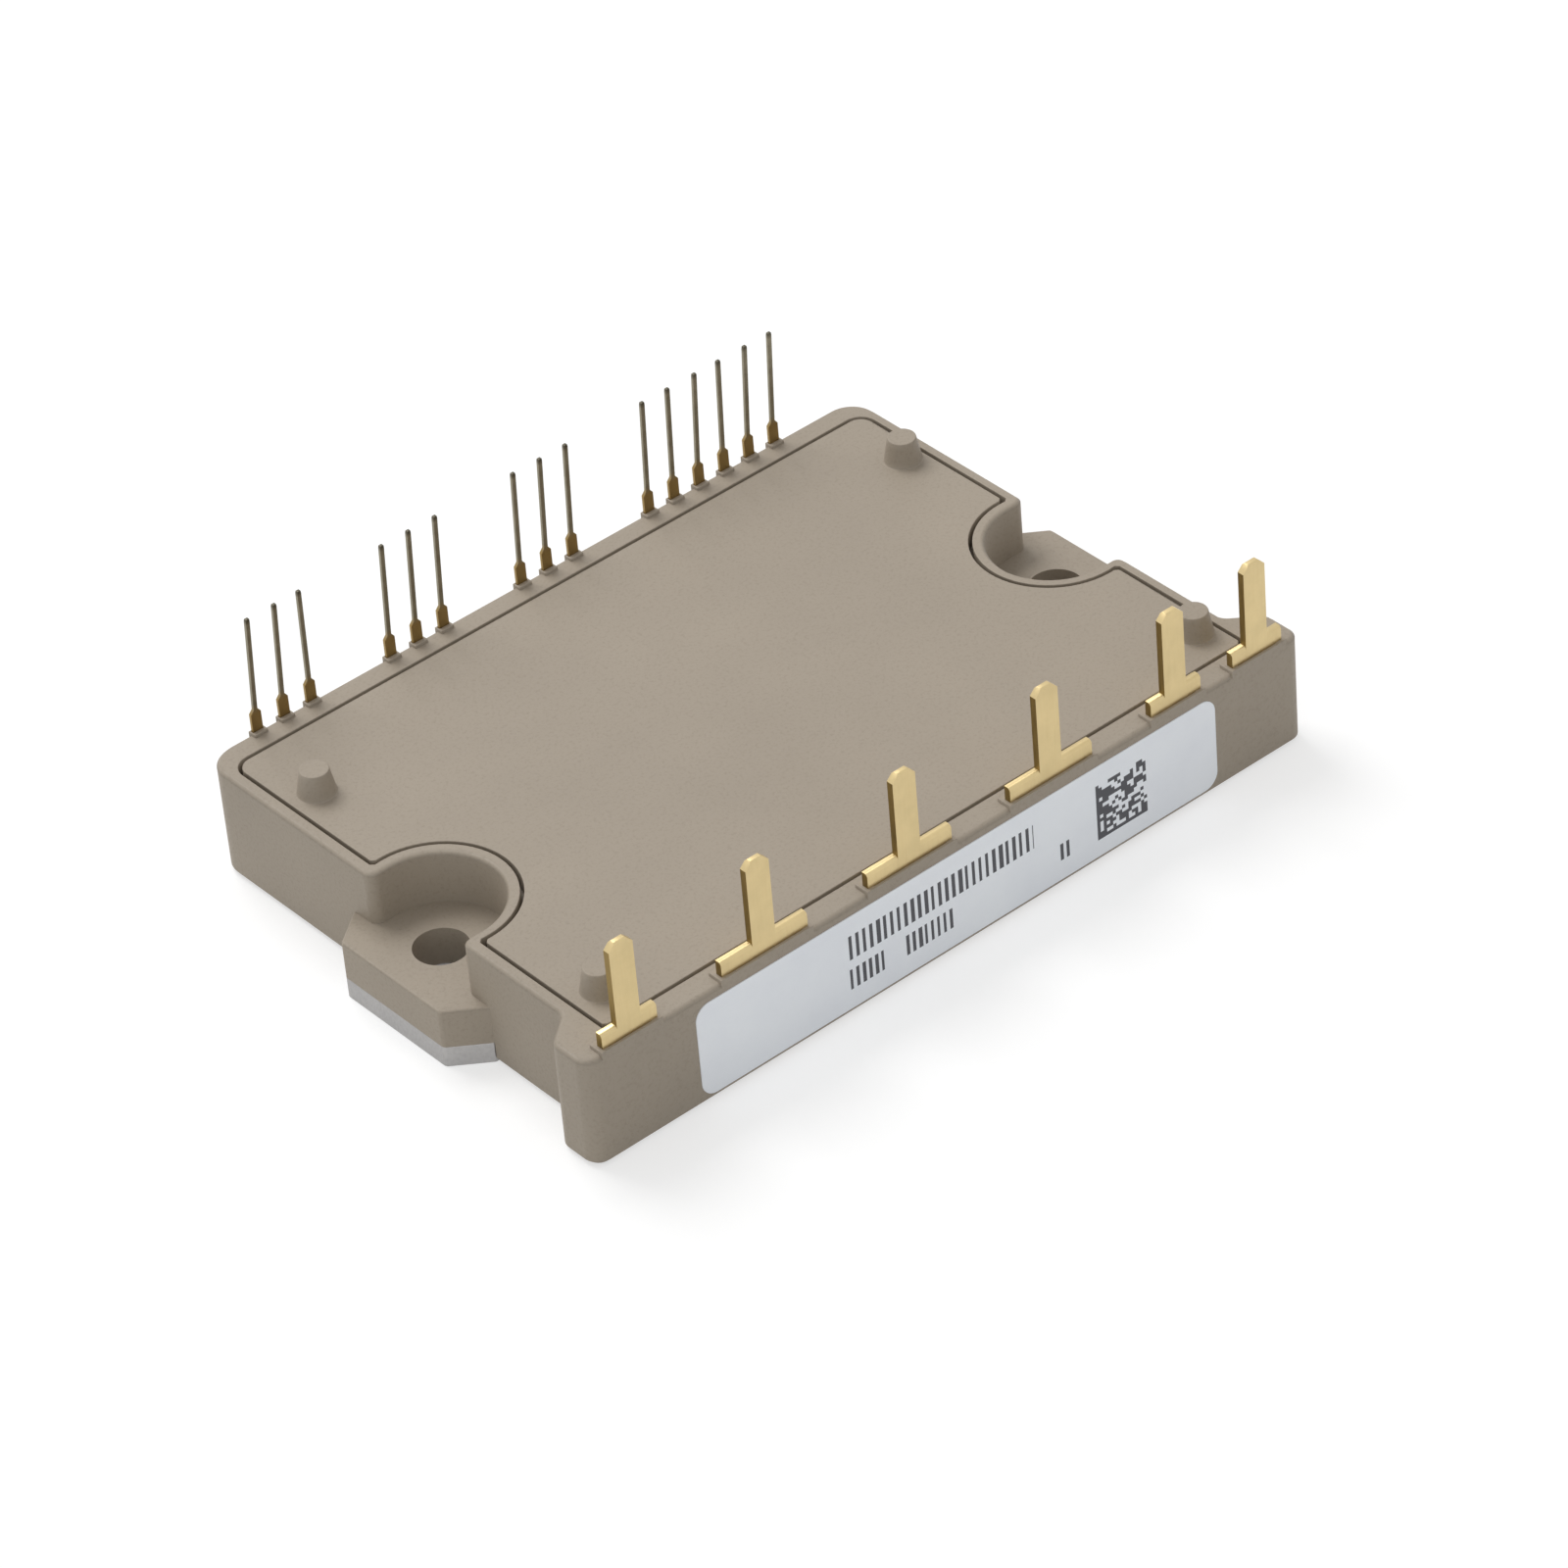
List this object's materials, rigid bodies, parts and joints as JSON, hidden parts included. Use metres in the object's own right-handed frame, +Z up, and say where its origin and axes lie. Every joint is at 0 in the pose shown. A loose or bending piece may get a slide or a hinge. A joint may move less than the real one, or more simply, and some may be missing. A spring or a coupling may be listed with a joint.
{
  "type": "igbt power module",
  "caption": "Flat moulded transistor power module with stamped tabs along the front, thin pins along the back and a screw ear at each end.",
  "frame": {"origin": "middle of the underside of the base plate, half way between the ends of the two ears", "axes": "+X along the rows of terminals, from the first tab to the last; +Y from the row of tabs to the row of pins; +Z up, out of the lid"},
  "size_m": [0.07, 0.0477, 0.0199],
  "materials": {
    "moulding": "fine matte moulded, grey-brown",
    "terminal_gold": "gold-coloured plated tab, satin",
    "pin_metal": "thin gold-coloured pin, slightly dull",
    "plate_metal": "pale grey, matte",
    "label_paper": "pale grey, smooth",
    "sealant": "soft white sealant",
    "board_laminate": "green solder mask",
    "gel": "clear soft gel",
    "copper": "bare copper",
    "silicon": "grey metallised chip",
    "solder": "tin solder",
    "wire_metal": "bright drawn wire",
    "insulation": "filled resin layer",
    "package_plastic": "black moulded package",
    "capacitor_ceramic": "brown ceramic",
    "resistor_ceramic": "black film on ceramic"
  },
  "bodies": {
    "root": {"base_plate": "plate_metal", "base_seal": "sealant", "bond_wires": "wire_metal", "chip_capacitors": "capacitor_ceramic", "chip_resistors": "resistor_ceramic", "control_board": "board_laminate", "control_pin_01": "pin_metal", "control_pin_02": "pin_metal", "control_pin_03": "pin_metal", "control_pin_04": "pin_metal", "control_pin_05": "pin_metal", "control_pin_06": "pin_metal", "control_pin_07": "pin_metal", "control_pin_08": "pin_metal", "control_pin_09": "pin_metal", "control_pin_10": "pin_metal", "control_pin_11": "pin_metal", "control_pin_12": "pin_metal", "control_pin_13": "pin_metal", "control_pin_14": "pin_metal", "control_pin_15": "pin_metal", "die_solder": "solder", "diode_chip_high_1": "silicon", "diode_chip_high_2": "silicon", "diode_chip_high_3": "silicon", "diode_chip_low_1": "silicon", "diode_chip_low_2": "silicon", "diode_chip_low_3": "silicon", "gel_fill": "gel", "high_side_driver_1": "package_plastic", "high_side_driver_2": "package_plastic", "high_side_driver_3": "package_plastic", "housing": "moulding", "igbt_chip_high_1": "silicon", "igbt_chip_high_2": "silicon", "igbt_chip_high_3": "silicon", "igbt_chip_low_1": "silicon", "igbt_chip_low_2": "silicon", "igbt_chip_low_3": "silicon", "insulating_layer": "insulation", "label": "label_paper", "lid": "moulding", "link_pins": "pin_metal", "low_side_driver": "package_plastic", "main_terminal_1": "terminal_gold", "main_terminal_2": "terminal_gold", "main_terminal_3": "terminal_gold", "main_terminal_4": "terminal_gold", "main_terminal_5": "terminal_gold", "main_terminal_6": "terminal_gold", "phase_pad_1": "copper", "phase_pad_2": "copper", "phase_pad_3": "copper", "return_pad": "copper", "signal_pads": "copper", "supply_pad": "copper"}
  },
  "joints": []
}
